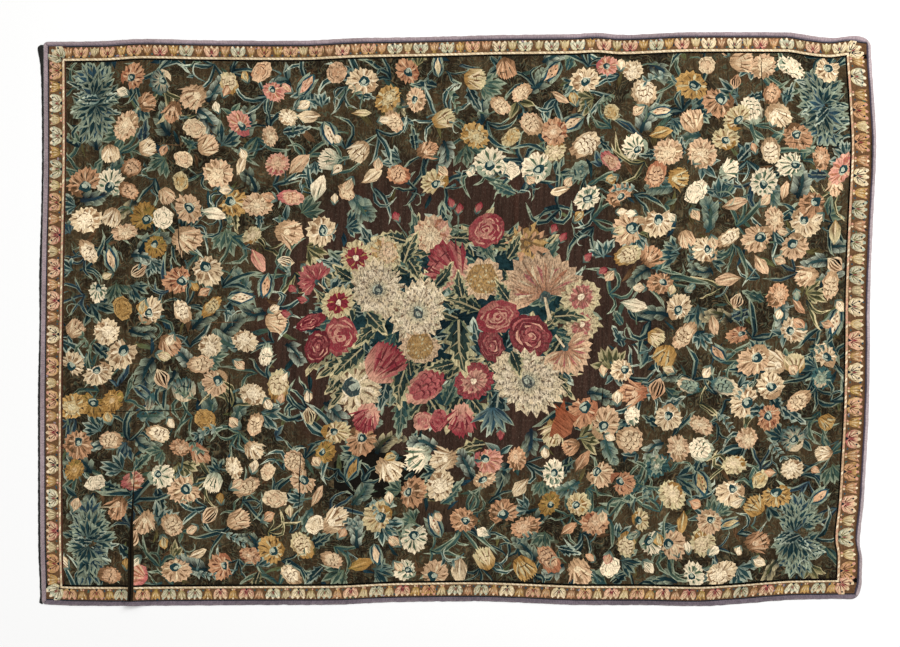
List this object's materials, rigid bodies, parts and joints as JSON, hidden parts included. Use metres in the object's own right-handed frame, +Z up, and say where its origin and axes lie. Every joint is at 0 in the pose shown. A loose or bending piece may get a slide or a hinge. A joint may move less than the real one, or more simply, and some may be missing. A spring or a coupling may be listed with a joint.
{
  "type": "verdure tapestry",
  "caption": "Wide flat wool tapestry of scattered flowers and leaves round a central posy, with a palmette border, a twisted guard line and a sewn galloon.",
  "frame": {"origin": "middle of the sheet, on the surface that it lies on", "axes": "+X along the long side, +Y towards the top of the weaving, +Z up out of the face"},
  "size_m": [2.8392, 1.9432, 0.0152],
  "materials": {
    "woven_wool": "matt ribbed wool weave, dark brown ground with cream, pink, ochre and blue-green flowers and leaves",
    "galloon_wool": "faded lilac-grey wool tape",
    "lining_cloth": "matt black cloth"
  },
  "bodies": {
    "root": {"tapestry": "woven_wool", "galloon_top": "galloon_wool", "galloon_right": "galloon_wool", "galloon_bottom": "galloon_wool", "galloon_left": "galloon_wool", "lining_edge": "lining_cloth"}
  },
  "joints": []
}
